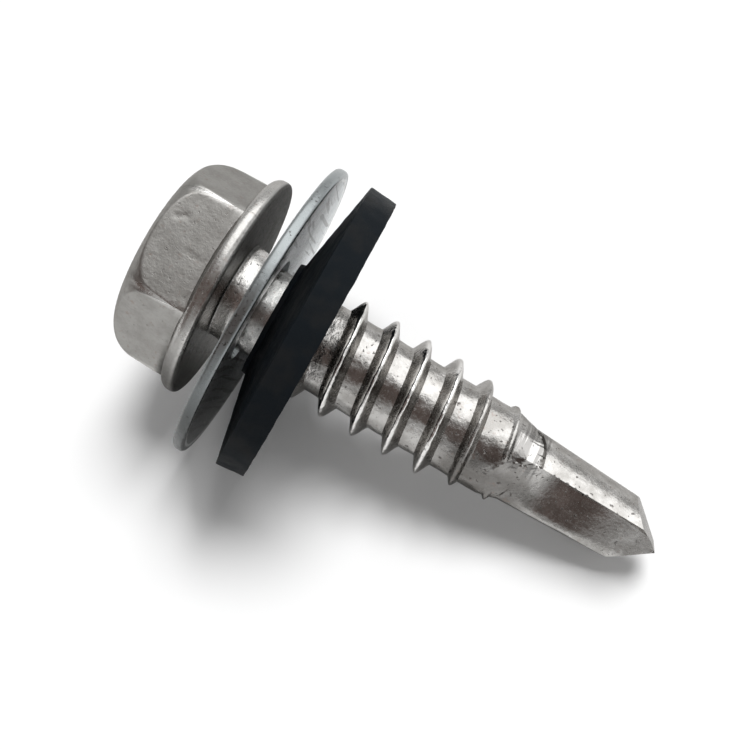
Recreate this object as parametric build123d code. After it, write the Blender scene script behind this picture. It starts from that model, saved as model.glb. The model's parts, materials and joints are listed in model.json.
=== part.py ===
"""Self drilling screw with a hex washer head, a dished steel washer and a rubber sealing washer.

Each piece is built about the screw's axis: Z = 0 is the flange's bearing face, +Z runs to the
drill point and the head is below zero. The three are then laid down together, the way the screw
rests on a table: on the rubber washer's rim and the corner of the drill point, point towards +X.
The origin is on the table, under the middle of the laid-down part.
"""
import os
from math import atan, atan2, cos, degrees, radians, sin, sqrt, tan

from build123d import *

# Driving dimensions, in millimetres and degrees.
# Screw: lengths are measured from the flange's bearing face.
screw_length = 24.2
shank_diameter = 4.5           # also the thread's root
neck_diameter = 4.9            # thicker stretch under the flange
neck_length = 0.9
neck_taper_length = 0.35
neck_bevel = 0.2               # where the neck meets the flange

# Head
across_flats = 9.4
head_height = 4.25             # bearing face to the top
corner_taper = 3.0             # slope of the hexagon's corners towards the top
top_edge_radius = 1.7
dish_diameter = 5.4            # shallow hollow in the top
dish_depth = 0.35
hex_turn = 52.2                # where one corner of the hexagon points
flange_diameter = 11.7
flange_rim = 0.7               # thickness at the rim
flange_crown = 1.0             # thickness where the hexagon meets it
flange_bevel = 0.2             # both edges of the rim
undercut_depth = 0.15          # hollow of the bearing face
undercut_margin = 0.55         # flat ring left round the hollow

# Thread: one right-hand start
thread_diameter = 6.05
pitch = 1.8
crest_width = 0.16
flank_angle = 26.0
crest_height_at_zero = 5.9     # a crest crosses the X axis here
thread_start = 3.85
thread_lead_in = 0.7           # crest climbs to full height over this
thread_fade = 2.6              # crest sinks back to the root over this
thread_end_gap = 0.05          # plain core left before the drill point
thread_sunk = 0.3              # how deep the ridge is rooted in the core

# Drill point: two pressed lands with a flute before each, lengths back from the tip
blank_length = 8.95            # the round blank narrows from here
blank_taper_length = 2.35      # and is hidden inside the lands after this
blank_tip_diameter = 3.3
margin_radius = 2.75           # each land stands highest at its margin
land_length = 8.2              # lands begin here at their heels
land_start_slant = 21.8        # and further on towards their margins
heel_start_radius = 1.97
heel_end_radius = 1.55
land_arc_radius = 2.72
flute_radius = 2.14
flute_length = 5.7             # flutes are at full depth over this
flute_runout_radius = 3.7
flute_runout_angle = 70.0
point_angle = 120.0
relief_angle = 45.0
point_turn = 80.7              # where the first margin points

# Steel washer, dished towards the head
washer_diameter = 16.0
washer_thickness = 0.4
washer_dish = 0.62             # rise of the dish from rim to bore
washer_bevel = 0.08            # both edges of the rim
washer_bore_clearance = 0.3    # on the radius, over the neck
washer_gap = 1.06              # bearing face to the washer
washer_tilt = 1.3              # the washer is loose and leans a little
washer_tilt_turn = -71.0

# Rubber washer, dished the same way
seal_diameter = 15.45
seal_thickness = 1.45
seal_dish = 1.05
seal_rim_draw = 0.12           # rim leans in by this towards the point
seal_bore_clearance = 0.05     # on the radius, over the shank
seal_lip_width = 0.75          # raised lip round the bore
seal_lip_height = 0.2
seal_gap = 0.9                 # steel washer's bore to the rubber's bore, lip left out
seal_flat = 0.2                # how far the rim is pressed flat where it rests
seal_tilt = 4.2                # the disc leans on its straight bore
seal_tilt_turn = -67.0

# Rest
rest_turn = -116.65            # direction across the screw that points down

# Making
cut_overrun = 0.3              # how far cutters run past what they cut

# Sizes that follow
shank_radius = shank_diameter / 2
neck_radius = neck_diameter / 2
thread_radius = thread_diameter / 2
blank_end = screw_length - blank_length
blank_tip = blank_end + blank_taper_length
thread_fade_end = blank_end - thread_end_gap
thread_full_end = thread_fade_end - thread_fade
land_start = screw_length - land_length
flute_full = screw_length - flute_length
washer_bore_radius = neck_radius + washer_bore_clearance
seal_bore_radius = shank_radius + seal_bore_clearance
seal_top = washer_gap + washer_thickness + seal_gap
seal_rim_tip = seal_top + seal_dish + seal_thickness
seal_rim_tip_radius = seal_diameter / 2 - seal_rim_draw
half_space = 2 * (screw_length + washer_diameter)  # a block larger than the whole part


def lathe(points, radii=None):
    """Turn a closed outline of (radius, height) points about Z; radii round its corners."""
    if radii is None:
        outline = Polyline(*points, close=True)
    else:
        outline = FilletPolyline(*points, radius=radii, close=True)
    return revolve(Plane.XZ * make_face(outline), Axis.Z)


def bevelled(points, bevels):
    """The outline with each corner cut off straight, this far from it along both its sides."""
    cut = []
    for index, (point, bevel) in enumerate(zip(points, bevels)):
        corner = Vector(*point)
        neighbours = (points[index - 1], points[(index + 1) % len(points)])
        for neighbour in neighbours if bevel else neighbours[:1]:
            cut.append(corner + (Vector(*neighbour) - corner).normalized() * bevel)
    return cut


def block(side):
    """Block beyond the XY plane, above it for side MIN and below it for side MAX."""
    return Box(half_space, half_space, half_space, align=(Align.CENTER, Align.CENTER, side))


def hexagon_block():
    """Hexagon whose corners are turned down to a taper and rounded over at the top."""
    corner_radius = across_flats / 2 / cos(radians(30))
    top_radius = corner_radius - (head_height - flange_crown) * tan(radians(corner_taper))
    prism = extrude(RegularPolygon(across_flats / 2, 6, major_radius=False), -head_height)
    skirt = corner_radius + flange_crown * tan(radians(corner_taper))
    envelope = lathe(
        [(0, 0), (skirt, 0), (top_radius, -head_height), (0, -head_height)],
        [0, 0, top_edge_radius, 0],
    )
    return prism.rotate(Axis.Z, hex_turn) & envelope


def head_dish():
    """Ball that leaves the shallow hollow in the top of the head."""
    half = dish_diameter / 2
    ball_radius = (half**2 + dish_depth**2) / (2 * dish_depth)
    return Pos(0, 0, -head_height + dish_depth - ball_radius) * Sphere(ball_radius)


def flange():
    """Round flange with a bevelled rim, sloped towards the hexagon and hollow underneath."""
    rim = flange_diameter / 2
    hexagon_edge = across_flats / 2
    plate = lathe(bevelled(
        [(0, 0), (rim, 0), (rim, -flange_rim), (hexagon_edge, -flange_crown), (0, -flange_crown)],
        [0, flange_bevel, flange_bevel, 0, 0]))
    hollow_edge = rim - undercut_margin
    hollow = lathe([(0, -undercut_depth), (neck_radius, -undercut_depth), (hollow_edge, 0), (0, 0)])
    return plate - hollow


def shank():
    """Plain core: neck under the flange, then the root of the thread and the drill blank."""
    shoulder = neck_length + neck_taper_length
    return lathe([
        (0, -flange_crown), (neck_radius, -flange_crown), (neck_radius + neck_bevel, -undercut_depth),
        (neck_radius, neck_bevel - undercut_depth), (neck_radius, neck_length),
        (shank_radius, shoulder), (shank_radius, blank_end),
        (blank_tip_diameter / 2, blank_tip), (0, blank_tip),
    ])


def thread():
    """Helical ridge whose crest climbs at the start and is turned down to nothing at the end."""
    rise = thread_radius - shank_radius
    foot_radius = shank_radius - thread_sunk
    foot = crest_width / 2 + (rise + thread_sunk) * tan(radians(flank_angle))
    turns_before = int((crest_height_at_zero - thread_start) / pitch) + 1
    bottom = crest_height_at_zero - turns_before * pitch
    path = Pos(0, 0, bottom) * Helix(pitch, thread_fade_end - bottom + pitch, shank_radius)
    profile = Plane.XZ * make_face(Polyline(
        (foot_radius, bottom - foot), (thread_radius, bottom - crest_width / 2),
        (thread_radius, bottom + crest_width / 2), (foot_radius, bottom + foot), close=True))
    ridge = sweep(profile, path, is_frenet=True)
    ridge &= Pos(0, 0, thread_start) * Cylinder(
        thread_diameter, thread_fade_end - thread_start,
        align=(Align.CENTER, Align.CENTER, Align.MIN))
    ridge -= trimming_cone(thread_full_end, thread_fade_end)
    return ridge - trimming_cone(thread_start + thread_lead_in, thread_start)


def trimming_cone(full, gone):
    """Ring outside a cone that is thread-sized at height full and sunk in the core at gone."""
    side = 1 if gone > full else -1
    slope = (thread_radius - shank_radius + thread_sunk / 2) / abs(gone - full)
    back = full - side * cut_overrun / slope
    past = gone + side * cut_overrun
    return lathe([
        (thread_radius + cut_overrun, back), (thread_diameter, back), (thread_diameter, past),
        (thread_radius - slope * abs(past - full), past),
    ])


def land_section(heel, height):
    """Two-lobed section: each land runs from its margin back to its heel."""
    corners = [(margin_radius, 0), (0, -heel), (-margin_radius, 0), (0, heel)]
    side = (margin_radius + heel) / 2 * sqrt(0.5)
    outline = Curve() + [
        RadiusArc(corners[0], corners[1], land_arc_radius),
        ThreePointArc(corners[1], (-side, -side), corners[2]),
        RadiusArc(corners[2], corners[3], land_arc_radius),
        ThreePointArc(corners[3], (side, side), corners[0]),
    ]
    return Pos(0, 0, height) * make_face(outline)


def flute_cutter():
    """Round-bottomed cutter through a margin and the next heel, lifting out of the blank behind."""
    heel = (heel_start_radius + heel_end_radius) / 2
    chord = sqrt(margin_radius**2 + heel**2)
    lift = sqrt(flute_radius**2 - (chord / 2)**2)
    centre = Vector(margin_radius / 2 + lift * heel / chord, heel / 2 + lift * margin_radius / chord)
    disc = Pos(centre.length, 0, flute_full) * Circle(flute_radius)
    straight = extrude(disc, flute_length + cut_overrun)
    pivot = Axis((centre.length + flute_runout_radius, 0, flute_full), (0, -1, 0))
    cutter = straight + revolve(disc, pivot, flute_runout_angle)
    return cutter.rotate(Axis.Z, degrees(atan2(centre.Y, centre.X)))


def drill_point():
    """Pressed lands with narrowing heels, and the two planes that make the cutting lips."""
    body = loft([land_section(heel_start_radius, land_start), land_section(heel_end_radius, screw_length)],
                ruled=True)
    start_slope = tan(radians(land_start_slant))
    lip_slope = 1 / tan(radians(point_angle / 2))
    relief_slope = tan(radians(relief_angle))
    beyond = block(Align.MIN)
    for side in (1, -1):
        body -= Plane((0, 0, land_start), z_dir=(side * start_slope, 0, -1)) * beyond
        body -= Plane((0, 0, screw_length), z_dir=(side * lip_slope, -side * relief_slope, 1)) * beyond
    return body


def screw():
    """The whole forged and rolled screw, one solid."""
    solid = hexagon_block() + flange() - head_dish() + shank() + thread()
    solid += drill_point().rotate(Axis.Z, point_turn)
    for turn in (0, 180):
        solid -= flute_cutter().rotate(Axis.Z, point_turn + turn)
    return solid


def hinge(height, turn):
    """Line across the axis at this height: what turns about it leans in the direction turn."""
    return Axis((0, 0, height), (-sin(radians(turn)), cos(radians(turn)), 0))


def steel_washer():
    """Dished disc of even thickness with a bevelled rim."""
    rim = washer_diameter / 2
    bore = washer_bore_radius
    disc = lathe(bevelled([
        (bore, washer_gap), (rim, washer_gap + washer_dish),
        (rim, washer_gap + washer_dish + washer_thickness), (bore, washer_gap + washer_thickness),
    ], [0, washer_bevel, washer_bevel, 0]))
    return disc.rotate(hinge(washer_gap, washer_tilt_turn), washer_tilt)


def rubber_washer():
    """Dished rubber disc with square-cut rim, a raised lip round its bore and a straight bore."""
    rim = seal_diameter / 2
    core = seal_bore_radius / 2
    slope = seal_dish / (rim - seal_bore_radius)
    lip = seal_bore_radius + seal_lip_width
    lip_top = seal_top - seal_lip_height
    disc = lathe([
        (core, lip_top), (lip - seal_lip_height / 2, lip_top), (lip, seal_top + slope * seal_lip_width),
        (rim, seal_top + seal_dish), (seal_rim_tip_radius, seal_rim_tip),
        (seal_bore_radius, seal_top + seal_thickness), (core, seal_top + seal_thickness),
    ])
    bore = Cylinder(seal_bore_radius, half_space)
    return disc.rotate(hinge(seal_rim_tip, seal_tilt_turn), seal_tilt) - bore


def rim_bottom(down):
    """Point of the rubber washer's leaning rim, on its point side, that lies lowest."""
    facing = Vector(0, 0, 1).rotate(hinge(0, seal_tilt_turn), seal_tilt)
    outward = (down - facing * down.dot(facing)).normalized()
    return Vector(0, 0, seal_rim_tip) + outward * seal_rim_tip_radius


def lay_down(solid):
    """Plane that lays the upright screw on the table, and the slope of its axis there."""
    across_down = Vector(cos(radians(rest_turn)), sin(radians(rest_turn)), 0)
    corners = [Vector(v.X, v.Y, v.Z) for v in solid.vertices() if v.Z > blank_end]
    slope = 0.0
    for _ in range(6):
        rim = rim_bottom(across_down * cos(slope) + Vector(0, 0, sin(slope)))
        depth = rim.dot(across_down) - seal_flat
        slope = min(atan((depth - c.dot(across_down)) / (c.Z - rim.Z)) for c in corners)
    height = depth * cos(slope) + rim.Z * sin(slope)
    axis = Vector(cos(slope), 0, -sin(slope))
    up = Vector(sin(slope), 0, cos(slope))
    side = axis.cross(up)
    across = up * cos(radians(rest_turn + 180)) - side * sin(radians(rest_turn + 180))
    return Plane(origin=(0, 0, height), x_dir=across, z_dir=axis), degrees(slope)


def main():
    """Build the three pieces, lay them down and write one file each."""
    upright = {"self_drilling_screw": screw(), "steel_washer": steel_washer(),
               "rubber_washer": rubber_washer()}
    rest, slope = lay_down(upright["self_drilling_screw"])
    laid = {name: piece.moved(rest.location) for name, piece in upright.items()}
    laid["rubber_washer"] -= block(Align.MAX)
    box = Compound(children=[Compound(piece.solids()) for piece in laid.values()]).bounding_box()
    shift = Location((-box.center().X, -box.center().Y, 0))
    os.makedirs("parts", exist_ok=True)
    for name, piece in laid.items():
        export_step(piece.moved(shift), f"parts/{name}.step")
    start = rest.origin + Vector(*shift.position)
    print("axis slope", round(slope, 3), "bearing face centre", start, "lowest", round(box.min.Z, 4))


main()
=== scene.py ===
import json
from math import cos, pi, radians, sin, sqrt, tan

import bmesh
import bpy
import numpy as np
from mathutils import Matrix, Vector


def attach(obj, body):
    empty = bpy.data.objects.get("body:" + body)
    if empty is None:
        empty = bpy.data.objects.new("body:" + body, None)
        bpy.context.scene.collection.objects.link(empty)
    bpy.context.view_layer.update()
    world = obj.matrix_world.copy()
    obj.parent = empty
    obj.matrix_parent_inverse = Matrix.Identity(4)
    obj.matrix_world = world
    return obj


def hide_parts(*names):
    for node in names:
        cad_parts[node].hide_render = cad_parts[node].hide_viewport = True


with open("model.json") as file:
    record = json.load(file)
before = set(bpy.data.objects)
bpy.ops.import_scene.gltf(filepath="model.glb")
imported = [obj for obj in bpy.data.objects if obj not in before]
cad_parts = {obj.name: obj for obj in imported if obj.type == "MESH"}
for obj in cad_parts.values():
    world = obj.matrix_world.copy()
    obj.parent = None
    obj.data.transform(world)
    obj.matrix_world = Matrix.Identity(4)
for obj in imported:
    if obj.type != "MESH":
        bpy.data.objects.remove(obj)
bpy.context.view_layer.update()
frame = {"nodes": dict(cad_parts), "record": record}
print("frame loaded:", sorted(frame["nodes"]))

mm = 0.001                     # in metres, the frame's unit
columns = 240                  # points round the screw
weld = 0.002                   # points closer than this become one
farOut = 9.0                   # beyond every piece

# Every piece is made upright in millimetres: Z along the screw's axis, 0 at the bearing face, the
# head below and the drill point above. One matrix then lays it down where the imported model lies.
lying = {
    "length": 24.2,            # bearing face to the tip of the drill point
    "restTurn": -116.65,       # direction across the screw that points down
}


def findPlace():
    point = {mount["name"]: mount for mount in frame["record"]["mounts"]}["drill_point"]
    axis = Vector(point["axis"]).normalized()
    bearing = Vector(point["pos_m"]) - axis * lying["length"] * mm
    side = Vector((0, -1, 0))
    upright = side.cross(axis)
    turn = radians(lying["restTurn"] + 180)
    across = upright * cos(turn) - side * sin(turn)
    turned = Matrix((across, axis.cross(across), axis)).transposed()
    return Matrix.Translation(bearing) @ turned.to_4x4() @ Matrix.Scale(mm, 4)


def addObject(name, data):
    item = bpy.data.objects.new(name, data)
    bpy.context.scene.collection.objects.link(item)
    return item


toFrame = findPlace()


# camera, set from the screw's own directions
view = {
    "lens": 57.6,
    "distance": 59.0,          # camera to the bearing face, along the view
    "offset": (-6.995, -4.033),  # bearing face from the middle of the view: right, down
    "axisTurn": 31.065,        # how far the screw's axis points down in the view
    "axisDip": -0.097,         # and away from it
    "sensor": 36.0,
    "nearest": 0.001,
}


def addCamera():
    point, dip = radians(view["axisTurn"]), radians(view["axisDip"])
    # the screw's own directions as the view has them: right, down, forward
    axis = Vector((cos(point) * cos(dip), sin(point) * cos(dip), -sin(dip)))
    across = Vector((sin(point), -cos(point), 0))
    seen = Matrix((across, axis.cross(across), axis))
    turned = toFrame.to_3x3().normalized()
    right, down, forward = (turned @ seen.transposed()[i] for i in range(3))
    offset = right * view["offset"][0] + down * view["offset"][1] + forward * view["distance"]
    camera = addObject("camera", bpy.data.cameras.new("camera"))
    camera.data.lens = view["lens"]
    camera.data.sensor_width = view["sensor"]
    camera.data.clip_start = view["nearest"]
    facing = Matrix((right, -down, -forward)).transposed().to_4x4()
    camera.matrix_world = Matrix.Translation(toFrame.translation - offset * mm) @ facing
    bpy.context.scene.camera = camera
    return camera


camera = addCamera()
print("camera placed", [round(v / mm, 1) for v in camera.matrix_world.translation])


def waves(points, size, seed, count=14, spread=(0.7, 1.6)):
    # smooth random field, about -1 to 1, with bumps of about this size
    rng = np.random.default_rng(seed)
    field = np.zeros(points.shape[:-1])
    for _ in range(count):
        direction = rng.normal(size=3)
        direction *= 2 * pi / (size * rng.uniform(*spread) * np.linalg.norm(direction))
        field += np.sin(points @ direction + rng.uniform(0, 2 * pi))
    return field / sqrt(count)


def portion(value, start, end):
    # how far a value is on its way from start to end, 0 to 1
    return np.clip((value - start) / (end - start), 0, 1)


def smooth(share):
    return share * share * (3 - 2 * share)


def within(value, low, high):
    return (value > low) & (value < high)


def steps(count, first=1):
    # even shares of a stretch, without its start unless first is 0
    return np.linspace(0, 1, count + 1)[first:]


def gapTo(points, first, last):
    # distance of points from a straight stretch
    run = last - first
    along = np.clip((points - first) @ run / (run @ run), 0, 1)
    return np.linalg.norm(points - first - along[:, None] * run, axis=1)


def smoothMin(a, b, radius):
    h = np.clip(0.5 + 0.5 * (b - a) / radius, 0, 1)
    return b + (a - b) * h - radius * h * (1 - h)


def ringPoints(radius, angle, height):
    return np.stack([radius * np.cos(angle), radius * np.sin(angle), height + 0 * radius], -1)


def gridMesh(name, rings, startPole=None, endPole=None, loop=False):
    # rings: rows x columns x 3; the rows may end in a pole or join up
    rows, count = rings.shape[:2]
    points = rings.reshape(-1, 3).tolist()
    faces = []
    for row in range(rows if loop else rows - 1):
        low, high = row * count, (row + 1) % rows * count
        for i in range(count):
            j = (i + 1) % count
            faces.append((low + i, low + j, high + j, high + i))
    for pole, row in ((startPole, 0), (endPole, rows - 1)):
        if pole is not None:
            points.append(list(pole))
            ring = row * count
            for i in range(count):
                faces.append((len(points) - 1, ring + i, ring + (i + 1) % count))
    mesh = bpy.data.meshes.new(name)
    mesh.from_pydata(points, [], faces)
    return mesh


def finishPiece(name, meshes, material, body, node, sharp=35.0, change=None):
    # joins meshes made upright into one closed piece and lays it down
    joined = bmesh.new()
    for mesh in meshes:
        joined.from_mesh(mesh)
    bmesh.ops.remove_doubles(joined, verts=joined.verts, dist=weld)
    bmesh.ops.recalc_face_normals(joined, faces=joined.faces)
    mesh = bpy.data.meshes.new(name)
    joined.to_mesh(mesh)
    openEdges = sum(1 for edge in joined.edges if not edge.is_manifold)
    joined.free()
    points = np.zeros(len(mesh.vertices) * 3)
    mesh.vertices.foreach_get("co", points)
    points = points.reshape(-1, 3)
    if change:
        points = change(points, mesh)
        mesh.vertices.foreach_set("co", points.ravel())
    mesh.transform(toFrame)
    mesh.polygons.foreach_set("use_smooth", [True] * len(mesh.polygons))
    mesh.set_sharp_from_angle(angle=radians(sharp))
    mesh.materials.clear()
    mesh.materials.append(material)
    piece = addObject(name, mesh)
    mesh.update()
    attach(piece, body)
    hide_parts(node)
    triangles = sum(len(face.vertices) - 2 for face in mesh.polygons)
    print(name, "triangles", triangles, "open edges", openEdges)


def newMaterial(name):
    material = bpy.data.materials.new(name)
    material.use_nodes = True
    tree = material.node_tree
    tree.nodes.clear()
    return material, tree


def add(tree, kind, inputs=None, **settings):
    # a node with its settings; inputs are values or other nodes' sockets
    node = tree.nodes.new(kind)
    for key, value in settings.items():
        setattr(node, key, value)
    for key, value in (inputs or {}).items():
        if isinstance(value, bpy.types.NodeSocket):
            tree.links.new(value, node.inputs[key])
        else:
            node.inputs[key].default_value = value
    return node


def screwCoordinates(tree):
    # object coordinates turned into the screw's own millimetres
    inverse = toFrame.inverted()
    coordinates = add(tree, "ShaderNodeTexCoord").outputs["Object"]
    return add(tree, "ShaderNodeMapping", {
        "Vector": coordinates,
        "Location": inverse.translation,
        "Rotation": inverse.to_3x3().normalized().to_euler("XYZ"),
        "Scale": (1 / mm, 1 / mm, 1 / mm),
    }).outputs["Vector"]


def finishMaterial(tree, kind, inputs, output="ShaderNodeOutputMaterial"):
    add(tree, output, {"Surface": add(tree, kind, inputs).outputs[0]})


def noise(tree, vector, scale, detail, rough):
    return add(tree, "ShaderNodeTexNoise", {
        "Vector": vector, "Scale": scale, "Detail": detail, "Roughness": rough}).outputs["Fac"]


def ramp(tree, value, low, high, toLow=0.0, toHigh=1.0, eased=True):
    return add(tree, "ShaderNodeMapRange", {
        "Value": value, "From Min": low, "From Max": high, "To Min": toLow, "To Max": toHigh},
        interpolation_type="SMOOTHSTEP" if eased else "LINEAR").outputs["Result"]


def calc(tree, operation, a, b=0.0, c=0.0):
    return add(tree, "ShaderNodeMath", {0: a, 1: b, 2: c}, operation=operation).outputs[0]


def blendColour(tree, factor, a, b):
    return add(tree, "ShaderNodeMix", {0: factor, 6: a, 7: b}, data_type="RGBA").outputs[2]


def mottledTone(tree, mottle, look):
    return blendColour(tree, ramp(tree, mottle, *look["mottleCut"]),
                       colour(*look["deep"]), colour(*look["pale"]))


def stretched(tree, vector, turn, scale):
    # coordinates turned by these degrees and scaled, so that noise on them is drawn out
    return add(tree, "ShaderNodeMapping", {
        "Vector": vector, "Rotation": [radians(angle) for angle in turn], "Scale": scale}).outputs["Vector"]


def spots(tree, vector, look):
    # noise cut down to separate marks: fineness, detail, roughness, then where the cut fades
    scale, detail, rough, *cut = look
    return ramp(tree, noise(tree, vector, scale, detail, rough), *cut)


def band(tree, value, rise, fall):
    # 1 between two fades
    return calc(tree, "MULTIPLY", ramp(tree, value, *rise), ramp(tree, value, *fall, 1.0, 0.0))


def coatOver(tree, tone, look, masks):
    # lays coats over a tone, each where its mask is: red, green, blue and how well it covers
    for name, mask in masks.items():
        *shade, cover = look[name]
        tone = blendColour(tree, calc(tree, "MULTIPLY", mask, cover), tone, colour(*shade))
    return tone


def colour(red, green, blue):
    return (red, green, blue, 1.0)


def bump(tree, height, depth, under=None):
    inputs = {"Height": height, "Distance": depth * mm, "Strength": 1.0}
    if under is not None:
        inputs["Normal"] = under
    return add(tree, "ShaderNodeBump", inputs).outputs["Normal"]


# finishes, in the screw's own millimetres: height runs along it, side across it and upwards
forgedLook = {
    "deep": (0.34, 0.33, 0.315),
    "pale": (0.52, 0.51, 0.495),
    "mottleCut": (0.35, 0.65),
    # noise: fineness, detail, roughness and, for separate marks, where the cut fades
    "mottle": (0.9, 5.0, 0.65),
    "lumps": (2.3, 4.0, 0.6),
    "grain": (7.0, 4.0, 0.6),
    "specks": (3.1, 3.0, 0.6, 0.60, 0.72),
    "pits": (5.2, 2.0, 0.5, 0.67, 0.72),
    "bearingPits": (6.0, 2.0, 0.5, 0.60, 0.64),
    "streaks": (1.0, 2.0, 0.5, 0.42, 0.56, 0.3, 1.0),  # on the pressed flats, drawn out
    "streakTurn": (0, -32, 0),
    "streakScale": (0.3, 0.3, 6.5),
    # heights over which each part's finish fades in and out
    "shankFrom": (-0.30, -0.05),
    "neckBand": ((0.05, 0.30), (2.5, 4.0)),
    "bearingBand": ((-0.38, -0.28), (0.04, 0.14)),
    "rimBand": ((-1.3, -0.9), (0.1, 0.3)),
    "fluteBand": ((11.4, 13.6), (16.6, 18.4)),
    "pressedBand": ((15.2, 15.5), (17.0, 17.2)),
    # sides between which it fades, and how strong it is there
    "bearingSide": (-0.5, 2.5, 0.0, 0.70),
    "rimSide": (-5.4, -2.6, 0.75, 0.0),
    "fluteSide": (-1.1, 0.1, 0.64, 0.0),
    "pressedSide": (-0.6, -0.1),
    # coats: red, green, blue and how well they cover
    "headCoat": (0.285, 0.280, 0.266, 0.65),
    # painted highlight: the neck is paler all round, so that it shines brighter
    "neckHighlightCoat": (0.80, 0.79, 0.77, 0.6),
    # painted shade: the far side of the bearing face, under the flange, is darkened
    "bearingShadeCoat": (0.05, 0.05, 0.048, 1.0),
    # painted dark reflection: the flutes' start is darkened on its lower side
    "fluteDarkReflectionCoat": (0.06, 0.055, 0.05, 1.0),
    "speckCoat": (0.25, 0.18, 0.15, 0.4),
    "pitCoat": (0.08, 0.07, 0.065, 0.75),
    # wear and painted highlight: paler on the crests, the hexagon's corners, the pressed flats and the
    # flange's rim
    "wearAndHighlightCoat": (0.92, 0.91, 0.89, 0.8),
    # painted shade: the flange's rim is darkened towards its lower side
    "rimCoat": (0.06, 0.06, 0.057, 1.0),
    "streakCoat": (0.16, 0.155, 0.15, 0.70),
    "headRoughness": 0.38,
    "shankRoughness": 0.21,
    "grainRoughness": (0.3, 0.7, -0.05, 0.08),     # span of the grain, and what each end adds
    "wearAndHighlightRoughness": -0.30,    # added where it is worn and where a highlight is painted
    "shadeRoughness": 0.5,      # and where shade is painted, on the bearing face and the rim's foot
    "headPits": 0.25,          # how strong the pits are on the head
    "neckLumps": (2.4, 3.8, 0.10, 1.0),
    "pointLumps": (15.5, 17.5, 1.0, 0.4),
    # depths in mm
    "grainDepth": 0.010,
    "mottleDepth": 0.03,
    "lumpDepth": 0.032,
    "pitDepth": 0.03,
    "edgeTint": (0.60, 0.59, 0.58),
}


def screwSteel():
    look = forgedLook
    material, tree = newMaterial("forgedSteel")
    place = screwCoordinates(tree)
    sides = add(tree, "ShaderNodeSeparateXYZ", {0: place}).outputs
    side, height = sides["X"], sides["Z"]
    # wear and painted highlight, marked on the mesh
    wearAndHighlight = add(tree, "ShaderNodeAttribute", attribute_name="wearAndHighlight").outputs["Fac"]
    mottle, lumps, grain = (noise(tree, place, *look[name]) for name in ("mottle", "lumps", "grain"))
    shank = ramp(tree, height, *look["shankFrom"])
    isHead = ramp(tree, shank, 0.0, 1.0, 1.0, 0.0)
    neck = band(tree, height, *look["neckBand"])
    # masks: painted shade on the bearing face and the rim's foot, a painted dark reflection on the flutes'
    # start, and the pressed flats
    bearing, rimFoot, flute, pressed = (
        calc(tree, "MULTIPLY", band(tree, height, *look[part + "Band"]),
             ramp(tree, side, *look[part + "Side"]))
        for part in ("bearing", "rim", "flute", "pressed"))
    pits = calc(tree, "MULTIPLY", spots(tree, place, look["pits"]),
                ramp(tree, shank, 0.0, 1.0, look["headPits"], 1.0))
    pits = calc(tree, "MAXIMUM", pits, calc(
        tree, "MULTIPLY", bearing, spots(tree, place, look["bearingPits"])))
    drawn = stretched(tree, place, look["streakTurn"], look["streakScale"])
    streaks = calc(tree, "MULTIPLY", spots(tree, drawn, look["streaks"]), pressed)
    # coats over the tone: the neck's painted highlight, painted shade on the bearing face and the rim's
    # foot, the flutes' painted dark reflection, and wear with a painted highlight
    tone = coatOver(tree, mottledTone(tree, mottle, look), look, {
        "headCoat": isHead, "neckHighlightCoat": neck, "bearingShadeCoat": bearing, "fluteDarkReflectionCoat": flute,
        "speckCoat": spots(tree, place, look["specks"]), "pitCoat": pits, "wearAndHighlightCoat": wearAndHighlight,
        "rimCoat": rimFoot, "streakCoat": streaks})
    rough = ramp(tree, shank, 0.0, 1.0, look["headRoughness"], look["shankRoughness"])
    rough = calc(tree, "ADD", rough, ramp(tree, grain, *look["grainRoughness"]))
    rough = calc(tree, "MULTIPLY_ADD", wearAndHighlight, look["wearAndHighlightRoughness"], rough)
    rough = calc(tree, "MULTIPLY_ADD", calc(tree, "ADD", bearing, rimFoot), look["shadeRoughness"], rough)
    # the neck and the point are smoother than the thread
    lumpy = calc(tree, "MULTIPLY", ramp(tree, height, *look["neckLumps"]),
                 ramp(tree, height, *look["pointLumps"]))
    normal = bump(tree, grain, look["grainDepth"])
    normal = bump(tree, mottle, look["mottleDepth"], normal)
    normal = bump(tree, calc(tree, "MULTIPLY", lumps, lumpy), look["lumpDepth"], normal)
    normal = bump(tree, calc(tree, "MULTIPLY", pits, -1.0), look["pitDepth"], normal)
    finishMaterial(tree, "ShaderNodeBsdfPrincipled", {
        "Base Color": tone, "Metallic": 1.0, "Roughness": rough, "Normal": normal,
        "Specular Tint": colour(*look["edgeTint"])})
    return material


washerLook = {
    "deep": (0.58, 0.61, 0.62),
    "pale": (0.72, 0.75, 0.76),
    "mottleCut": (0.35, 0.65),
    "mottle": (0.8, 4.0, 0.6),
    "grain": (8.0, 4.0, 0.6),
    "dots": (4.4, 2.0, 0.5, 0.66, 0.70),
    "scratches": (1.0, 1.0, 0.5, 0.58, 0.63),
    "scratchTurn": (0, 0, 14),
    "scratchScale": (3.6, 0.13, 0.1),
    # fades by distance in from the rim
    "rimBand": (0.37, 0.20),
    # wear and painted highlight: a paler ring just inside the rim
    "wearAndHighlightBand": ((0.52, 0.45), (0.37, 0.30)),
    # painted shade: darker towards the lower side
    "lowSide": (-6.6, -2.0, 0.86, 0.0),
    "scratchCoat": (0.06, 0.06, 0.06, 0.6),
    "rimCoat": (0.25, 0.27, 0.275, 0.9),
    "dotCoat": (0.04, 0.035, 0.03, 0.7),
    "lowShadeCoat": (0.05, 0.052, 0.05, 1.0),
    "wearAndHighlightCoat": (0.93, 0.94, 0.93, 0.6),
    "roughness": (0.3, 0.7, 0.26, 0.38),   # span of the grain, and the roughness at each end
    "grainDepth": 0.006,
    "mottleDepth": 0.03,
    "scratchDepth": 0.010,
}


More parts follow.
